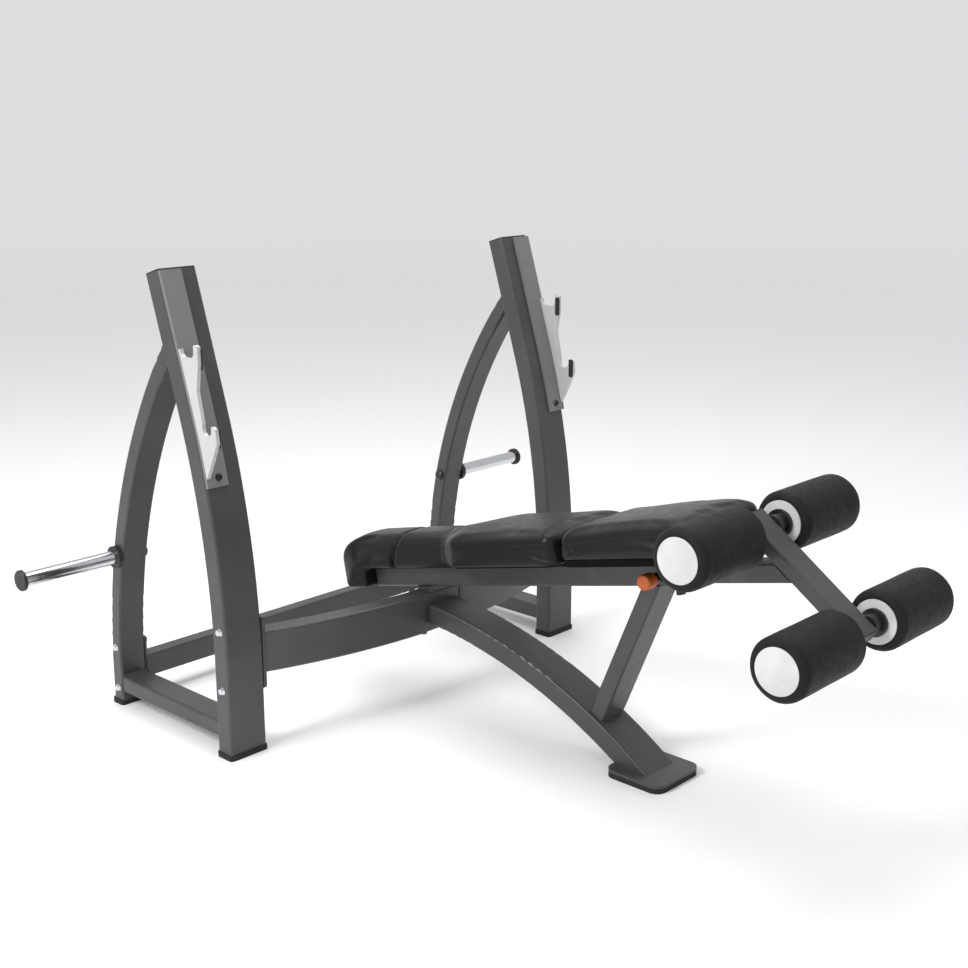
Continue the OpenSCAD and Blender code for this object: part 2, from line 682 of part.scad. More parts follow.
// Places the children on the roller post: z runs from the lower axle up to the upper axle
module post_place() {
    translate([0, roller_local[0], roller_local[1]]) rotate([post_angle - 90, 0, 0]) children();
}
module roller_post() {
    color("gray") on_rail() difference() {
        post_place() translate([0, 0, -axle_spacing - post_down])
            linear_extrude(axle_spacing + post_up + post_down) tube_section(slide_w, post_deep, tube_wall, 5);
        for (p = [roller_local, lower_local]) rod_x(axle_d, -slide_w, slide_w, p[0], p[1]);
    }
}
module post_caps() {
    color([0.1, 0.1, 0.1]) on_rail() post_place() {
        for (place = [[post_up, 0], [-axle_spacing - post_down, 180]])
            translate([0, 0, place[0]]) rotate([place[1], 0, 0]) {
                linear_extrude(3) round_rect(slide_w, post_deep, 5);
                translate([0, 0, -post_plug_l]) linear_extrude(post_plug_l)
                    round_rect(slide_w - 2 * tube_wall, post_deep - 2 * tube_wall, 2);
            }
    }
}
module roller_axles() {
    color([0.75, 0.76, 0.78]) on_rail() for (p = [roller_local, lower_local])
        rod_x(axle_d, -roller_out - 1, roller_out + 1, p[0], p[1]);
}
module roller_spacers() {
    color([0.35, 0.35, 0.36]) on_rail() both_sides() for (p = [roller_local, lower_local]) difference() {
        union() {
            rod_x(spacer_d, slide_w / 2 + 0.5, foam_x - disc_t - fit_gap, p[0], p[1]);
            rod_x(hub_d, foam_x - disc_t - fit_gap - 7, foam_x - disc_t - fit_gap, p[0], p[1]);
        }
        rod_x(axle_d, 0, foam_x, p[0], p[1]);
    }
}
// Screw and washer that keep a roller on its axle, under the outer disc's dome
module axle_end_screws() {
    color([0.3, 0.3, 0.3]) on_rail() both_sides() for (p = [roller_local, lower_local])
        rod_x(28, roller_out + 1, roller_out + 2.5, p[0], p[1]);
}
// Foam sleeve with rounded ends, at the place p of its axle
module foam(p) {
    r = foam_d / 2;
    soft = 14;
    bore = core_d / 2;
    color([0.15, 0.15, 0.15]) on_rail() translate([foam_x, p[0], p[1]]) rotate([0, 90, 0])
        rotate_extrude($fn = 96) {
            translate([bore, 0]) square([r - soft - bore, foam_l]);
            translate([bore, soft]) square([r - bore, foam_l - 2 * soft]);
            translate([r - soft, soft]) circle(soft);
            translate([r - soft, foam_l - soft]) circle(soft);
        }
}
// Hard core of a roller: a bored tube with a flat inner disc and, outside, a domed disc over the screw
module core(p) {
    bore = axle_d / 2 + axle_clear;
    dome_h = 6;
    dome_r = (pow(disc_d / 2, 2) + pow(dome_h, 2)) / (2 * dome_h);
    color([0.92, 0.92, 0.93]) on_rail() translate([foam_x, p[0], p[1]]) rotate([0, 90, 0])
        rotate_extrude($fn = 96) {
            translate([bore, -disc_t]) square([core_d / 2 - bore, foam_l + disc_t]);
            translate([bore, -disc_t]) square([disc_d / 2 - bore, disc_t]);
            translate([core_d / 2 - 1, foam_l]) square([disc_d / 2 - core_d / 2 + 1, 1]);
            difference() {
                intersection() {
                    translate([0, foam_l + 1 + dome_h - dome_r]) circle(dome_r, $fn = 360);
                    translate([0, foam_l + 1]) square([disc_d / 2, dome_h + 1]);
                }
                translate([-1, foam_l]) square([core_d / 2, 4.5]);
            }
        }
}

// Threaded housing welded to the rail's side, with a cavity for the pin's spring
module pin_housing() {
    color([0.3, 0.3, 0.3]) on_rail() difference() {
        rod_x(housing_d, -rail_w / 2 - housing_l, -rail_w / 2, pin_l, pin_h);
        rod_x(pin_d + 0.1, -rail_w / 2 - housing_l - 1, -rail_w / 2 + 1, pin_l, pin_h);
        rod_x(pin_d + 7, -rail_w / 2 - housing_l + housing_end, -rail_w / 2 - housing_end, pin_l, pin_h);
    }
}
// Pull pin, drawn out so that its tip is clear of the slide tube
module pull_pin() {
    color([0.75, 0.76, 0.78]) on_rail() {
        rod_x(pin_d, shaft_end_x, -rail_w / 2 + tube_wall - 0.5, pin_l, pin_h);
        rod_x(pin_d + 6, collar_x, collar_x + collar_t, pin_l, pin_h);
    }
}
// Ring of the spring wire's corners at one step of the coil
function coil_ring(k, steps, turns, r, wire, l) = [for (c = [0 : 5])
    let (a = 360 * turns * k / steps, rr = r + wire / 2 * cos(60 * c))
    [l * k / steps + wire / 2 * sin(60 * c), rr * cos(a), rr * sin(a)]];
// Faces of a tube swept through a number of rings of six points
function coil_faces(steps) = concat(
    [[for (c = [0 : 5]) c]],
    [[for (c = [0 : 5]) 6 * steps + 5 - c]],
    [for (k = [0 : steps - 1], c = [0 : 5])
        [6 * k + c, 6 * k + 6 + c, 6 * k + 6 + (c + 1) % 6, 6 * k + (c + 1) % 6]]);
module pin_spring() {
    wire = 0.8;
    room = spring_room - wire - 0.2;
    color([0.8, 0.8, 0.82]) on_rail()
        translate([collar_x - spring_room + wire / 2 + 0.1, pin_l, pin_h])
            polyhedron([for (k = [0 : coil_steps])
                each coil_ring(k, coil_steps, 3, pin_d / 2 + 1.5, wire, room)],
                coil_faces(coil_steps), convexity = 6);
}
module pull_knob() {
    soft = 4;
    r = knob_d / 2;
    color([0.85, 0.4, 0.08]) on_rail() translate([knob_rim_x, pin_l, pin_h]) rotate([0, -90, 0])
        difference() {
            rotate_extrude() {
                square([r - soft, knob_l]);
                translate([0, soft]) square([r, knob_l - 2 * soft]);
                for (l = [soft, knob_l - soft]) translate([r - soft, l]) circle(soft);
            }
            translate([0, 0, -1]) cylinder(d = housing_d + 1.5, h = knob_pocket + 1);
            cylinder(d = pin_d, h = knob_rim_x - shaft_end_x);
        }
}
// Set screw that steadies the slide tube from below
module rail_set_screw() {
    color([0.15, 0.15, 0.15]) on_rail() translate([0, pin_l - 16, 0]) {
        translate([0, 0, -8]) cylinder(d = screw_d, h = 8 + slide_low - 0.5);
        translate([0, 0, -26]) cylinder(d = 20, h = 18);
    }
}

module frame_bolts() {
    head = 6;
    color([0.8, 0.81, 0.83]) both_sides() {
        for (z = beam_bolt_z) {
            rod_x(bolt_d, upright_in - flange_t - 12, upright_out, beam_bolt_y, z);
            translate([upright_out, beam_bolt_y, z]) rotate([0, 90, 0]) cylinder(d1 = 20, d2 = 13, h = head);
        }
        for (z = rear_bolt_z) {
            rod_x(bolt_d, leg_in - rear_flange_t - 12, leg_out, frame_depth - leg_d / 2, z);
            translate([leg_out, frame_depth - leg_d / 2, z]) rotate([0, 90, 0])
                cylinder(d1 = 20, d2 = 13, h = head);
        }
    }
}
// Hexagon nuts inside the beam flanges
module frame_nuts() {
    nut_t = 9;
    color([0.15, 0.15, 0.15]) both_sides() {
        for (z = beam_bolt_z) nut(upright_in - flange_t - nut_t, beam_bolt_y, z, nut_t);
        for (z = rear_bolt_z) nut(leg_in - rear_flange_t - nut_t, frame_depth - leg_d / 2, z, nut_t);
    }
}
module nut(x, y, z, t) {
    difference() {
        translate([x, y, z]) rotate([0, 90, 0]) cylinder(d = 17 / cos(30), h = t, $fn = 6);
        rod_x(bolt_d, x - 1, x + t + 1, y, z);
    }
}

at_row() left() front_upright();  // front_upright_left
at_row() front_upright();  // front_upright_right
at_row() upright_caps();
at_row() left() rear_leg();  // rear_leg_left
at_row() rear_leg();  // rear_leg_right
at_row() base_tubes();
at_row() front_foot_rubbers();
at_row() rear_foot_rubbers();
at_row() left() front_crossbeam();  // front_crossbeam_left
at_row() front_crossbeam();  // front_crossbeam_right
at_row() front_beam_flanges();
at_row() rear_crossbeam();
at_row() rear_beam_flanges();
at_row() centre_hub();
at_row() rail_saddle();
at_row() arch_spine();
at_row() foot_plate();
at_row() foot_pad_rubber();
at_row() strut();
at_row() bench_rail();
at_row() rail_end_cap();
at_row() rail_mouth_liner();
at_row() both_sides() catch_plate();  // catch_plates
at_row() left() bar_hook();  // bar_hook_left
at_row() bar_hook();  // bar_hook_right
at_row() hook_lip_guards();
at_row() catch_bolts();
at_row() left() plate_peg();  // plate_peg_left
at_row() plate_peg();  // plate_peg_right
at_row() peg_collars();
at_row() peg_end_caps();
at_row() peg_bolts();
at_row() back_cushion();
at_row() back_board();
at_row() seat_cushion();
at_row() seat_board();
at_row() pad_brackets();
at_row() pad_screws();
at_row() slide_tube();
at_row() slide_bush();
at_row() roller_post();
at_row() post_caps();
at_row() roller_axles();
at_row() roller_spacers();
at_row() axle_end_screws();
at_row() left() foam(roller_local);  // foam_upper_left
at_row() foam(roller_local);  // foam_upper_right
at_row() left() foam(lower_local);  // foam_lower_left
at_row() foam(lower_local);  // foam_lower_right
at_row() left() core(roller_local);  // core_upper_left
at_row() core(roller_local);  // core_upper_right
at_row() left() core(lower_local);  // core_lower_left
at_row() core(lower_local);  // core_lower_right
at_row() pin_housing();
at_row() pull_pin();
at_row() pin_spring();
at_row() pull_knob();
at_row() rail_set_screw();
at_row() frame_bolts();
at_row() frame_nuts();
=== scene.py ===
"""Looks of the decline press bench: its padded cushions, foam rollers, finishes, light and camera."""
import json
import math
import bpy
import bmesh
from mathutils import Matrix, Vector
from mathutils.bvhtree import BVHTree


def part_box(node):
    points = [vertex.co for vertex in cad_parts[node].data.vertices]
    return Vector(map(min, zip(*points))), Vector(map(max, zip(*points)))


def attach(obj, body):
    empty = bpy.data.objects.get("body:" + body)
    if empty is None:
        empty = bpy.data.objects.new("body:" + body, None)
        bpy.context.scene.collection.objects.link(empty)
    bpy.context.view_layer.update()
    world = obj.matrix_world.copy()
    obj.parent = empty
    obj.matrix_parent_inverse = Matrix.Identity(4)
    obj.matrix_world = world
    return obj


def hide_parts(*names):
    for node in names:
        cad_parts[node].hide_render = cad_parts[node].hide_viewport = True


MM = 0.001
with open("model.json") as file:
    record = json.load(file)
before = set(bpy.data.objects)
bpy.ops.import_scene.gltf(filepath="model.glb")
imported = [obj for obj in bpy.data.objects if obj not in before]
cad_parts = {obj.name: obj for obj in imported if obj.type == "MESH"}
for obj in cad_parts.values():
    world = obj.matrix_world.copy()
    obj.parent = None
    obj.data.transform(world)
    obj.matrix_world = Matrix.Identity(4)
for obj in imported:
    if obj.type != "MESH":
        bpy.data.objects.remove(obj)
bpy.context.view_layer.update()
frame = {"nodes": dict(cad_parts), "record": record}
NODES = frame["nodes"]

# Slope of the bench rail, and height of its underside at the uprights' front face
RAIL_SLOPE = math.radians(12.84)
RAIL_Z = 281.5 * MM
# The uprights' front face lies half an upright's depth in front of the middle of their rubber feet
HALF_UPRIGHT = 25 * MM
FRONT_Y = (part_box("front_foot_rubbers")[0].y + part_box("front_foot_rubbers")[1].y) / 2 - HALF_UPRIGHT
RAIL_ORIGIN = Vector((0, FRONT_Y, RAIL_Z))
TO_ROW = Matrix.Translation(RAIL_ORIGIN) @ Matrix.Rotation(-RAIL_SLOPE, 4, "X")


# ---------- node helpers ----------
def material(name, color, rough, metal=0.0, coat=0.0, sheen=0.0, specular=0.5):
    """New material with its Principled shader: (material, node tree, shader)."""
    made = bpy.data.materials.new(name)
    made.use_nodes = True
    tree = made.node_tree
    shader = tree.nodes["Principled BSDF"]
    shader.inputs["Base Color"].default_value = (*color, 1)
    shader.inputs["Roughness"].default_value = rough
    shader.inputs["Metallic"].default_value = metal
    shader.inputs["Coat Weight"].default_value = coat
    shader.inputs["Sheen Weight"].default_value = sheen
    shader.inputs["Specular IOR Level"].default_value = specular
    return made, tree, shader


def noise(tree, scale, detail=3.0, stretch=(1, 1, 1)):
    """Noise over object coordinates, as its factor socket."""
    coords = tree.nodes.new("ShaderNodeTexCoord")
    mapping = tree.nodes.new("ShaderNodeMapping")
    mapping.inputs["Scale"].default_value = stretch
    texture = tree.nodes.new("ShaderNodeTexNoise")
    texture.inputs["Scale"].default_value = scale
    texture.inputs["Detail"].default_value = detail
    tree.links.new(coords.outputs["Object"], mapping.inputs["Vector"])
    tree.links.new(mapping.outputs["Vector"], texture.inputs["Vector"])
    return texture.outputs["Fac"]


def cells(tree, scale):
    """Distance to the cell borders of a Voronoi pattern over object coordinates."""
    coords = tree.nodes.new("ShaderNodeTexCoord")
    texture = tree.nodes.new("ShaderNodeTexVoronoi")
    texture.inputs["Scale"].default_value = scale
    tree.links.new(coords.outputs["Object"], texture.inputs["Vector"])
    return texture.outputs["Distance"]


def ramp(tree, socket, low, high, start=0.3, end=0.7):
    """The socket's value mapped from one colour or grey to another."""
    mapped = tree.nodes.new("ShaderNodeValToRGB")
    first, last = mapped.color_ramp.elements
    first.position, last.position = start, end
    first.color = (*low, 1) if hasattr(low, "__len__") else (low, low, low, 1)
    last.color = (*high, 1) if hasattr(high, "__len__") else (high, high, high, 1)
    tree.links.new(socket, mapped.inputs["Fac"])
    return mapped.outputs["Color"]


def bump(tree, shader, socket, strength, distance):
    """Adds a bump from the socket in front of the shader's normal."""
    node = tree.nodes.new("ShaderNodeBump")
    node.inputs["Strength"].default_value = strength
    node.inputs["Distance"].default_value = distance
    tree.links.new(socket, node.inputs["Height"])
    before = shader.inputs["Normal"].links
    if before:
        tree.links.new(before[0].from_socket, node.inputs["Normal"])
    tree.links.new(node.outputs["Normal"], shader.inputs["Normal"])


def tint(color, factor):
    return tuple(min(1.0, c * factor) for c in color)


def mottle(tree, shader, color, socket, dark, light):
    """Base colour that follows the socket from a darker to a lighter tint."""
    tree.links.new(ramp(tree, socket, tint(color, dark), tint(color, light)), shader.inputs["Base Color"])


def vary_roughness(tree, shader, socket, low, high):
    tree.links.new(ramp(tree, socket, low, high), shader.inputs["Roughness"])


# ---------- materials ----------
def powder_coat(name, color):
    """Satin powder coat: fine orange peel, slight cloudiness."""
    made, tree, shader = material(name, color, 0.42, coat=0.2, specular=0.4)
    shader.inputs["Coat Roughness"].default_value = 0.3
    mottle(tree, shader, color, noise(tree, 9, 4), 0.88, 1.12)
    vary_roughness(tree, shader, noise(tree, 60), 0.36, 0.48)
    bump(tree, shader, noise(tree, 900, 2), 0.12, 0.0004)
    return made


def vinyl(name, color):
    """Upholstery vinyl: pebbled grain, soft sheen, broad creases."""
    made, tree, shader = material(name, color, 0.4, coat=0.22, sheen=0.1, specular=0.12)
    shader.inputs["Sheen Roughness"].default_value = 0.35
    shader.inputs["Coat Roughness"].default_value = 0.35
    mottle(tree, shader, color, noise(tree, 7, 5), 0.85, 1.2)
    vary_roughness(tree, shader, noise(tree, 40), 0.33, 0.47)
    bump(tree, shader, cells(tree, 700), 0.18, 0.0005)
    bump(tree, shader, noise(tree, 16, 3, (1, 0.35, 1)), 0.12, 0.004)
    return made


def foam_skin(name, color):
    """Skinned foam: fine pores and a dull sheen."""
    made, tree, shader = material(name, color, 0.62, sheen=0.02, specular=0.16)
    shader.inputs["Sheen Roughness"].default_value = 0.5
    mottle(tree, shader, color, noise(tree, 30, 6), 0.85, 1.25)
    vary_roughness(tree, shader, noise(tree, 90), 0.52, 0.7)
    bump(tree, shader, cells(tree, 1100), 0.25, 0.0005)
    bump(tree, shader, noise(tree, 24, 3), 0.08, 0.003)
    return made


def moulded(name, color, rough, grain=0.1):
    """Moulded plastic or rubber: faint mottling and a fine grain."""
    made, tree, shader = material(name, color, rough)
    mottle(tree, shader, color, noise(tree, 14, 4), 0.88, 1.12)
    vary_roughness(tree, shader, noise(tree, 50), rough - 0.06, rough + 0.08)
    bump(tree, shader, noise(tree, 1200, 2), grain, 0.0004)
    return made


def metal(name, color, rough, brushed=0.0, metallic=1.0):
    """Plated, blasted or brushed steel, with light handling marks."""
    made, tree, shader = material(name, color, rough, metal=metallic)
    mottle(tree, shader, color, noise(tree, 12, 5), 0.94, 1.04)
    vary_roughness(tree, shader, noise(tree, 45, 5), rough * 0.8, rough * 1.35)
    if brushed:
        bump(tree, shader, noise(tree, 420, 2, (1, 1, 0.03)), brushed, 0.0003)
    return made


def painted_board(name, color):
    """Black painted board: long faint grain under matt paint."""
    made, tree, shader = material(name, color, 0.7, specular=0.06)
    grain = noise(tree, 60, 5, (1, 0.05, 1))
    mottle(tree, shader, color, grain, 0.8, 1.25)
    vary_roughness(tree, shader, noise(tree, 30), 0.62, 0.78)
    bump(tree, shader, grain, 0.15, 0.0005)
    return made


FINISHES = {
    "frame_coat": powder_coat("frame_coat_look", (0.042, 0.0423, 0.0433)),
    "rubber_foot": moulded("rubber_foot_look", (0.008, 0.008, 0.008), 0.8, 0.25),
    "black_plastic": moulded("black_plastic_look", (0.01, 0.01, 0.0105), 0.5),
    "catch_steel": metal("catch_steel_look", (0.18, 0.18, 0.184), 0.5, 0.12, 0.3),
    "hook_steel": metal("hook_steel_look", (0.52, 0.525, 0.53), 0.45, 0.1, 0.35),
    "chrome": metal("chrome_look", (0.6, 0.61, 0.62), 0.12),
    "vinyl": vinyl("vinyl_look", (0.0045, 0.0045, 0.0048)),
    "board": painted_board("board_look", (0.003, 0.003, 0.003)),
    "foam": foam_skin("foam_look", (0.009, 0.009, 0.0092)),
    "roller_disc": moulded("roller_disc_look", (0.55, 0.55, 0.555), 0.35, 0.03),
    "zinc_steel": metal("zinc_steel_look", (0.72, 0.73, 0.74), 0.3, 0.08),
    "black_steel": powder_coat("black_steel_look", (0.008, 0.008, 0.0083)),
    "orange_plastic": moulded("orange_plastic_look", (0.42, 0.085, 0.004), 0.5, 0.05),
}
for part in frame["record"]["subparts"]:
    mesh = NODES[part["node"]].data
    mesh.materials.clear()
    mesh.materials.append(FINISHES[part["material_slot"]])


# ---------- shaping helpers ----------
def new_object(name, bm):
    bmesh.ops.recalc_face_normals(bm, faces=bm.faces)
    mesh = bpy.data.meshes.new(name)
    bm.to_mesh(mesh)
    bm.free()
    made = bpy.data.objects.new(name, mesh)
    bpy.context.scene.collection.objects.link(made)
    return made


def skin(bm, rings):
    """Joins each closed ring of vertices to the next one."""
    for first, second in zip(rings, rings[1:]):
        for k in range(len(first)):
            n = (k + 1) % len(first)
            bm.faces.new((first[k], first[n], second[n], second[k]))


def round_ring(bm, centre, turn, radius, sides):
    """Ring of vertices in the plane that the turn stands up from."""
    ring = []
    for k in range(sides):
        angle = 2 * math.pi * k / sides
        spoke = Vector((radius * math.cos(angle), radius * math.sin(angle), 0))
        ring.append(bm.verts.new(centre + turn @ spoke))
    return ring


def smooth(obj):
    for face in obj.data.polygons:
        face.use_smooth = True


def apply_modifiers(obj):
    bpy.context.view_layer.update()
    graph = bpy.context.evaluated_depsgraph_get()
    mesh = bpy.data.meshes.new_from_object(obj.evaluated_get(graph))
    obj.modifiers.clear()
    obj.data = mesh


def place_on_rail(obj):
    """Moves a mesh drawn in the rail's own length and height into the row frame."""
    obj.data.transform(TO_ROW)
    obj.data.update()


def voxel_remesh(obj, size):
    modifier = obj.modifiers.new("remesh", "REMESH")
    modifier.mode = "VOXEL"
    modifier.voxel_size = size
    apply_modifiers(obj)


def puff(obj, pinned_below, cap, pressure=4.0, frames=20):
    """Swells the cushion with a short cloth simulation.

    Points lower than pinned_below gives for their length stay pinned, and no point moves further than cap.
    """
    rest = [vertex.co.copy() for vertex in obj.data.vertices]
    group = obj.vertex_groups.new(name="pinned")
    group.add([i for i, co in enumerate(rest) if co.z < pinned_below(co.y)], 1.0, "ADD")
    cloth = obj.modifiers.new("cloth", "CLOTH")
    cloth.settings.vertex_group_mass = group.name
    cloth.settings.use_pressure = True
    cloth.settings.uniform_pressure_force = pressure
    cloth.settings.effector_weights.gravity = 0
    cloth.settings.tension_stiffness = 12
    cloth.settings.compression_stiffness = 12
    cloth.settings.bending_stiffness = 0.4
    cloth.settings.quality = 5
    scene = bpy.context.scene
    scene.frame_start, scene.frame_end = 1, frames
    cloth.point_cache.frame_end = frames
    for step in range(1, frames + 1):
        scene.frame_set(step)
    apply_modifiers(obj)
    for vertex, start in zip(obj.data.vertices, rest):
        move = vertex.co - start
        if move.length > cap:
            vertex.co = start + move * (cap / move.length)
    scene.frame_set(1)
    obj.vertex_groups.clear()


def relax(obj, times, factor=0.5):
    modifier = obj.modifiers.new("relax", "SMOOTH")
    modifier.iterations = times
    modifier.factor = factor
    apply_modifiers(obj)


def subdivide(obj):
    modifier = obj.modifiers.new("fine", "SUBSURF")
    modifier.levels = modifier.render_levels = 1
    apply_modifiers(obj)


def bell(distance, width):
    return math.exp(-(distance / width) ** 2)


def ease(value, start, end):
    """0 before start, 1 after end, and smooth in between."""
    t = min(1.0, max(0.0, (value - start) / (end - start)))
    return t * t * (3 - 2 * t)


def round_end(value, end, radius):
    """Height lost within radius of an end, on a quarter circle."""
    inside = radius - abs(end - value)
    if inside <= 0:
        return 0.0
    return radius - math.sqrt(max(radius * radius - inside * inside, 0))


# ---------- cushions ----------
# Lengths run along the rail from the uprights, heights stand up from the rail's underside, in metres
NECK_HALF, PAD_HALF = 76 * MM, 150 * MM
HEAD_END, BACK_END = 212 * MM, -594.5 * MM
SEAT_START, SEAT_END = -601.5 * MM, -951.5 * MM
BOARD_TOP = 81 * MM
# The neck crease of the back cushion leans from its top edge down to the rail
CREASE_HEIGHT, CREASE_LEAN = 88 * MM, 0.35
# Drop of the sewn side seams below the cushions' upper edges, and how they press in
SEAM_DROP, SEAM_DEPTH, SEAM_WIDTH = 26 * MM, 1.6 * MM, 2.2 * MM
STITCH_PITCH, STITCH_LENGTH, THREAD_RADIUS = 9 * MM, 6 * MM, 0.55 * MM
# The lofts are drawn this much narrower on each side, for the simulation to swell them out again
LOFT_INSET = 3 * MM
REMESH_SIZE = 5.5 * MM
SWELL_CAP = 6 * MM


def section(half, low, high, soft_top=20 * MM, soft_low=5 * MM, crown=4 * MM):
    """Closed outline across a cushion: flat below, upright sides, rounded edges and a crowned top."""
    points = []
    for side in (1, -1):
        arc = []
        for k in range(7):
            turn = math.radians(-90 + 15 * k)
            arc.append((half - soft_low * (1 - math.cos(turn)), low + soft_low * (1 + math.sin(turn))))
        for k in range(9):
            turn = math.radians(90 * k / 8)
            arc.append((half - soft_top * (1 - math.cos(turn)), high - soft_top * (1 - math.sin(turn))))
        for k in range(1, 8):
            across = (half - soft_top) * (1 - k / 8)
            arc.append((across, high + crown * (1 - (across / max(half - soft_top, 1e-6)) ** 2)))
        points.extend([(side * x, z) for x, z in (arc if side == 1 else arc[::-1])])
        if side == 1:
            points.append((0.0, high + crown))
    return points


def loft(name, stations, shape):
    """Skin through the sections at the stations along the rail, closed by flat ends."""
    bm = bmesh.new()
    rings = [[bm.verts.new((x, length, z)) for x, z in shape(length)] for length in stations]
    skin(bm, rings)
    bm.faces.new(rings[0])
    bm.faces.new(rings[-1][::-1])
    return new_object(name, bm)


def spread(start, end, count):
    """Stations that crowd towards both ends."""
    return [start + (end - start) * (1 - math.cos(math.pi * k / count)) / 2 for k in range(1, count)]


def back_top(length):
    high = 128 * MM + 10 * MM * (1 - ease(length, -300 * MM, -150 * MM))
    high -= round_end(length, BACK_END, 20 * MM) + round_end(length, HEAD_END, 66 * MM)
    return high


def back_low(length):
    if length > 118 * MM:
        return 4 * MM + round_end(length, HEAD_END, 26 * MM)
    return 53 * MM + 14 * MM * (1 - ease(length, -215 * MM, -180 * MM))


def back_half(length):
    half = NECK_HALF + (PAD_HALF - NECK_HALF) * (1 - ease(length, -285 * MM, -178 * MM))
    return half - round_end(length, BACK_END, 34 * MM) - round_end(length, HEAD_END, 26 * MM) - LOFT_INSET


def back_section(length):
    return section(back_half(length), back_low(length), back_top(length))


def seat_top(length):
    rise = ease(-length, 620 * MM, 830 * MM) * 10 * MM - ease(-length, 880 * MM, 950 * MM) * 3 * MM
    return 140 * MM + rise - round_end(length, SEAT_START, 20 * MM) - round_end(length, SEAT_END, 20 * MM)


def seat_section(length):
    half = PAD_HALF - LOFT_INSET - round_end(length, SEAT_START, 34 * MM) - round_end(length, SEAT_END, 34 * MM)
    return section(half, BOARD_TOP + 0.5 * MM, seat_top(length))


def seam(obj, distance, has_seam, depth, width):
    """Presses a sewn line into the mesh, where has_seam holds and the distance from the line is near 0."""
    normals = [vertex.normal.copy() for vertex in obj.data.vertices]
    for vertex, normal in zip(obj.data.vertices, normals):
        if has_seam(vertex.co):
            vertex.co -= normal * depth * bell(distance(vertex.co), width)


def padded_loft(name, stations, shape, pinned_below):
    """Lofted cushion, swelled and smoothed."""
    pad = loft(name, stations, shape)
    voxel_remesh(pad, REMESH_SIZE)
    puff(pad, pinned_below, SWELL_CAP)
    relax(pad, 3)
    subdivide(pad)
    return pad


def side_seams(pad, top, end=math.inf):
    """Presses in the seam under both upper edges of a cushion, as far along the rail as the end."""
    seam(pad, lambda co: co.z - (top(co.y) - SEAM_DROP), lambda co: co.y < end, SEAM_DEPTH, SEAM_WIDTH)


def back_cushion():
    # Two more stations hold the step where the head end hangs down over the rail
    stations = sorted(spread(BACK_END, HEAD_END, 70) + [116 * MM, 119 * MM])
    pad = padded_loft("back_cushion_cover", stations, back_section, lambda length: back_low(length) + 10 * MM)
    seam(pad, lambda co: co.y - (CREASE_HEIGHT - co.z) * CREASE_LEAN, lambda co: co.z > 50 * MM, 9 * MM, 6 * MM)
    side_seams(pad, back_top, 130 * MM)
    stitches(pad, "back_cushion_stitches", back_top, BACK_END + 40 * MM, 60 * MM)
    finish_cushion(pad, "back_cushion")


def seat_cushion():
    stations = spread(SEAT_START, SEAT_END, 44)
    pad = padded_loft("seat_cushion_cover", stations, seat_section, lambda length: BOARD_TOP + 8 * MM)
    side_seams(pad, seat_top)
    stitches(pad, "seat_cushion_stitches", seat_top, SEAT_END + 40 * MM, SEAT_START - 40 * MM)
    finish_cushion(pad, "seat_cushion")


def dress(obj, body, slot):
    """Smooth shading, the slot's finish, and the body that the piece rides on."""
    obj.data.materials.clear()
    obj.data.materials.append(FINISHES[slot])
    smooth(obj)
    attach(obj, body)


def finish_cushion(pad, node):
    place_on_rail(pad)
    dress(pad, "frame", "vinyl")
    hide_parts(node)


def bar(bm, start, end, radius, sides=6):
    """Short round bar between two points, closed by flat ends."""
    turn = (end - start).to_track_quat("Z", "Y")
    rings = [round_ring(bm, centre, turn, radius, sides) for centre in (start, end)]
    skin(bm, rings)
    bm.faces.new(rings[0][::-1])
    bm.faces.new(rings[1])


def stitches(pad, name, top, start, end):
    """Thread along both side seams of a cushion, a stitch at every pitch, laid on its surface."""
    mesh = pad.data
    surface = BVHTree.FromPolygons([v.co for v in mesh.vertices], [tuple(p.vertices) for p in mesh.polygons])
    bm = bmesh.new()
    for side in (1, -1):
        for k in range(int((end - start) / STITCH_PITCH)):
            ends = []
            for length in (start + STITCH_PITCH * k, start + STITCH_PITCH * k + STITCH_LENGTH):
                origin = Vector((side * 0.3, length, top(length) - SEAM_DROP))
                hit, normal, _, _ = surface.ray_cast(origin, Vector((-side, 0, 0)))
                if hit is not None:
                    ends.append(hit + normal * 0.2 * MM)
            if len(ends) == 2 and (ends[1] - ends[0]).length < 2 * STITCH_LENGTH:
                bar(bm, ends[0], ends[1], THREAD_RADIUS)
    thread = new_object(name, bm)
    place_on_rail(thread)
    dress(thread, "frame", "vinyl")


# ---------- foam rollers ----------
ROLLER_BORE, ROLLER_SOFT, ROLLER_DISH = 15 * MM, 15 * MM, 1.2 * MM
ROLLER_STEPS = 72


def roller_profile(length, radius):
    """Half outline of a foam roller from its inner to its outer end: (distance along the axle, radius)."""
    soft = ROLLER_SOFT
    points = [(ROLLER_DISH, ROLLER_BORE), (ROLLER_DISH, radius - 1.7 * soft), (0.2 * MM, radius - 1.15 * soft)]
    for k in range(9):
        turn = math.radians(90 * k / 8)
        points.append((soft * (1 - math.cos(turn)), radius - soft * (1 - math.sin(turn))))
    barrel = [(soft + (length - 2 * soft) * k / 10, radius) for k in range(1, 10)]
    return points + barrel + [(length - along, out) for along, out in reversed(points)]


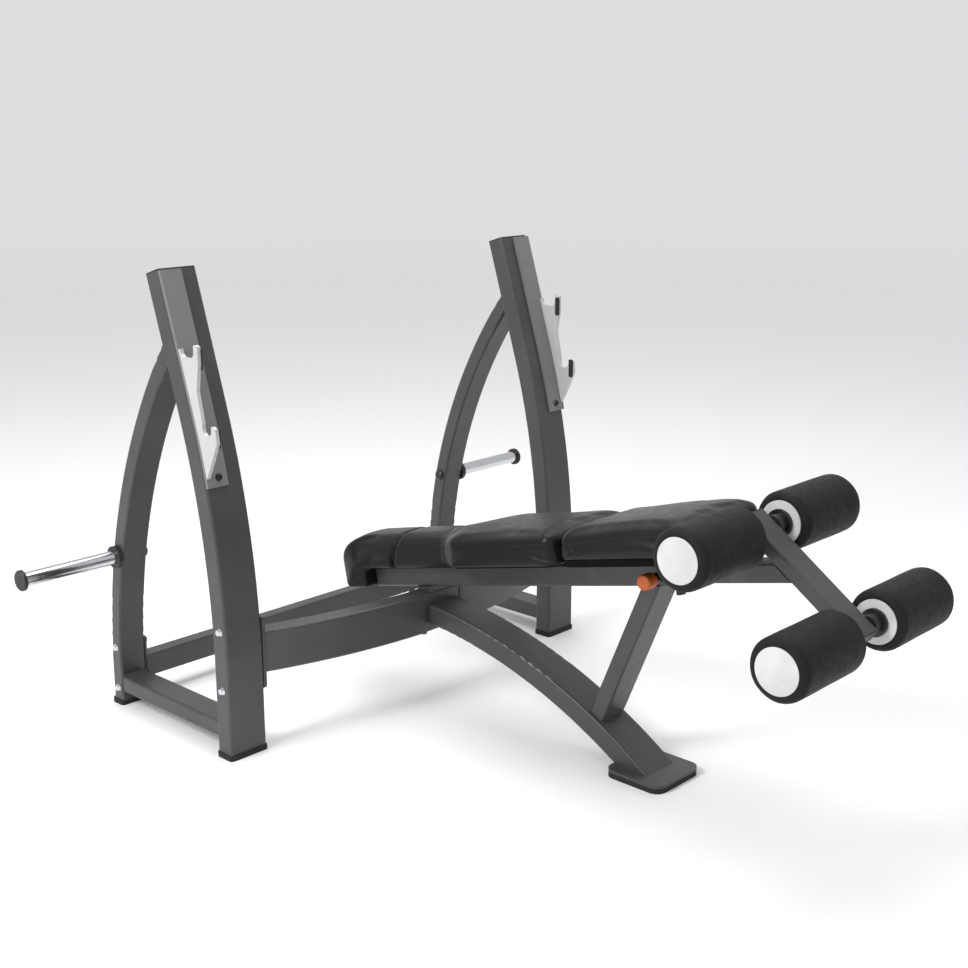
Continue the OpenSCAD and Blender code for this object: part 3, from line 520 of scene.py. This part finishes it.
def foam_roller(level, side):
    low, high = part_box(f"foam_{level}_{side}")
    centre = (low + high) / 2
    radius = (high.z - low.z) / 2
    profile = roller_profile(high.x - low.x, radius)
    start, sign = (low.x, 1) if side == "right" else (high.x, -1)
    bm = bmesh.new()
    rings = []
    for k in range(ROLLER_STEPS):
        turn = 2 * math.pi * k / ROLLER_STEPS
        ring = []
        for along, out in profile:
            # Foam is never quite round: soft dents wind along it, up to half a millimetre deep
            dent = 0.5 * MM * math.sin(3 * turn + along * 22) * math.sin(along * 31 + 1.3)
            out = out - abs(dent) if out > 0.6 * radius else out
            ring.append(bm.verts.new((start + sign * along, centre.y + out * math.cos(turn),
                                      centre.z + out * math.sin(turn))))
        rings.append(ring)
    skin(bm, rings + rings[:1])
    roller = new_object(f"foam_{level}_{side}_sleeve", bm)
    subdivide(roller)
    dress(roller, f"roller_{level}_{side}", "foam")
    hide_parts(f"foam_{level}_{side}")


# ---------- weld beads ----------
# Depth of the front crossbeam's end, cut at a slant by its flange, and of the strut's end on the rail
BOW_DEPTH, STRUT_DEPTH = 53.3 * MM, 49 * MM
STRUT_WIDTH, BASE_TUBE_WIDTH, HOUSING_WIDTH = 80 * MM, 70 * MM, 24 * MM
TUBE_CORNER = 6 * MM
BEAD_RADIUS, SMALL_BEAD_RADIUS = 2.4 * MM, 1.8 * MM


def weld_loop(centre, across, along, width, depth, corner, step=1.1 * MM):
    """Points round a rectangle with round corners, in the plane of two directions."""
    points = []
    for x_sign, y_sign, first in ((1, 1, 0), (-1, 1, 90), (-1, -1, 180), (1, -1, 270)):
        for k in range(7):
            turn = math.radians(first + 15 * k)
            points.append((x_sign * (width / 2 - corner) + corner * math.cos(turn),
                           y_sign * (depth / 2 - corner) + corner * math.sin(turn)))
    loop = []
    for (x0, y0), (x1, y1) in zip(points, points[1:] + points[:1]):
        count = max(1, round(math.hypot(x1 - x0, y1 - y0) / step))
        for k in range(count):
            loop.append(centre + across * (x0 + (x1 - x0) * k / count) + along * (y0 + (y1 - y0) * k / count))
    return loop


def weld_beads(name, loops, radius=BEAD_RADIUS, sides=8):
    """Closed beads of weld along the loops, with the ripples of the pool that set."""
    bm = bmesh.new()
    for loop in loops:
        rings = []
        for k, point in enumerate(loop):
            ahead = (loop[(k + 1) % len(loop)] - loop[k - 1]).normalized()
            turn = ahead.to_track_quat("Z", "Y")
            swell = radius * (1 + 0.13 * math.sin(2 * math.pi * k / 4) + 0.06 * math.sin(0.23 * k))
            rings.append(round_ring(bm, point, turn, swell, sides))
        for first, second in zip(rings, rings[1:] + rings[:1]):
            shift = min(range(sides), key=lambda n: (second[n].co - first[0].co).length)
            for n in range(sides):
                m = (n + 1) % sides
                bm.faces.new((first[n], first[m], second[(m + shift) % sides], second[(n + shift) % sides]))
    dress(new_object(name, bm), "frame", "frame_coat")


def middle(corners):
    """Centre of a box given by its lowest and highest corners."""
    low, high = corners
    return Vector(((low.x + high.x) / 2, (low.y + high.y) / 2, (low.z + high.z) / 2))


def frame_welds():
    x_way, y_way, z_way = Vector((1, 0, 0)), Vector((0, 1, 0)), Vector((0, 0, 1))
    tubes, beam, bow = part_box("base_tubes"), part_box("rear_crossbeam"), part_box("front_crossbeam_right")
    side_x = middle(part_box("front_upright_right")).x
    base, rear, front = [], [], []
    for side in (1, -1):
        for y in (tubes[0].y, tubes[1].y):
            base.append(weld_loop(Vector((side * side_x, y, middle(tubes).z)), x_way, z_way,
                                  BASE_TUBE_WIDTH, tubes[1].z - tubes[0].z, TUBE_CORNER))
        rear.append(weld_loop(Vector((side * beam[1].x, middle(beam).y, middle(beam).z)), y_way, z_way,
                              beam[1].y - beam[0].y, beam[1].z - beam[0].z, TUBE_CORNER))
        front.append(weld_loop(Vector((side * bow[1].x, bow[1].y - BOW_DEPTH / 2, middle(bow).z)), y_way, z_way,
                               BOW_DEPTH, bow[1].z - bow[0].z, TUBE_CORNER))
    weld_beads("base_tube_welds", base)
    weld_beads("rear_beam_welds", rear)
    weld_beads("front_beam_welds", front)
    # The strut meets the rail's underside at a slant, so its outline there is longer than the tube is deep
    strut_edge = (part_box("strut")[0].y - FRONT_Y) / math.cos(RAIL_SLOPE)
    weld_beads("strut_weld", [weld_loop(TO_ROW @ Vector((0, strut_edge + STRUT_DEPTH / 2, 0)), x_way,
                                        TO_ROW.to_3x3() @ y_way, STRUT_WIDTH, STRUT_DEPTH, TUBE_CORNER)])
    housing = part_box("pin_housing")
    ring = Vector((housing[1].x, middle(housing).y, middle(housing).z))
    weld_beads("pin_housing_weld", [weld_loop(ring, y_way, z_way, HOUSING_WIDTH, HOUSING_WIDTH,
                                              HOUSING_WIDTH / 2, 0.9 * MM)], SMALL_BEAD_RADIUS)


back_cushion()
seat_cushion()
for level in ("upper", "lower"):
    for side in ("left", "right"):
        foam_roller(level, side)
frame_welds()


# ---------- floor, light, camera ----------
FLOOR_HALF = 45
FLOOR_NEAR, FLOOR_FAR = (0.86, 0.86, 0.865), (1.0, 1.0, 1.0)
# Distances from the middle of the floor between which its painted light takes it from darker to paler
PALE_FROM, PALE_TO = 2.0, 14.0
# Round the bench, the camera stands at the photograph's azimuth and elevation
CAMERA_AZIMUTH, CAMERA_ELEVATION = math.radians(-46.886), math.radians(14.466)
CAMERA_PLACE = (-2.42035, FRONT_Y - 2.48543, 1.43123)
CAMERA_LENS = 54.02


def area_light(name, place, target, size, power):
    data = bpy.data.lights.new(name, "AREA")
    data.shape = "RECTANGLE"
    data.size, data.size_y = size
    data.energy = power
    lamp = bpy.data.objects.new(name, data)
    bpy.context.scene.collection.objects.link(lamp)
    lamp.location = place
    lamp.rotation_euler = (Vector(target) - Vector(place)).to_track_quat("-Z", "Y").to_euler()


def studio_floor():
    """Plain pale floor. Its colour is painted light: darker near the bench and paler away from it, so that it
    meets the backdrop without an edge.
    """
    bm = bmesh.new()
    bmesh.ops.create_grid(bm, x_segments=1, y_segments=1, size=FLOOR_HALF)
    floor = new_object("studio_floor", bm)
    made, tree, shader = material("floor_look", FLOOR_NEAR, 0.6, specular=0.2)
    coords = tree.nodes.new("ShaderNodeTexCoord")
    away = tree.nodes.new("ShaderNodeVectorMath")
    away.operation = "LENGTH"
    tree.links.new(coords.outputs["Object"], away.inputs[0])
    pale = tree.nodes.new("ShaderNodeMapRange")
    pale.inputs["From Min"].default_value, pale.inputs["From Max"].default_value = PALE_FROM, PALE_TO
    tree.links.new(away.outputs["Value"], pale.inputs["Value"])
    # Painted light: the floor's colour grows paler with distance from the bench
    shade = ramp(tree, pale.outputs["Result"], FLOOR_NEAR, FLOOR_FAR, 0.0, 1.0)
    tree.links.new(shade, shader.inputs["Base Color"])
    floor.data.materials.append(made)


def studio_light():
    world = bpy.data.worlds.new("studio_world")
    world.use_nodes = True
    backdrop = world.node_tree.nodes["Background"]
    backdrop.inputs["Color"].default_value = (0.96, 0.965, 0.98, 1)
    backdrop.inputs["Strength"].default_value = 0.75
    bpy.context.scene.world = world
    bpy.context.scene.view_settings.view_transform = "Standard"
    area_light("key", (-3.4, 0.7, 3.0), (0, 0, 0.3), (1.3, 1.3), 120)
    area_light("fill", (-2.6, -4.2, 1.6), (0, 0, 0.4), (2.5, 2.0), 12)
    area_light("top", (0.4, 0.6, 3.8), (0, 0, 0.3), (3.0, 3.0), 85)


def camera():
    """Camera at the photograph's angle, with no roll."""
    data = bpy.data.cameras.new("camera")
    data.lens = CAMERA_LENS
    data.clip_end = 60
    made = bpy.data.objects.new("camera", data)
    bpy.context.scene.collection.objects.link(made)
    made.location = CAMERA_PLACE
    made.rotation_euler = (math.pi / 2 - CAMERA_ELEVATION, 0, CAMERA_AZIMUTH)
    bpy.context.scene.camera = made


studio_floor()
studio_light()
camera()
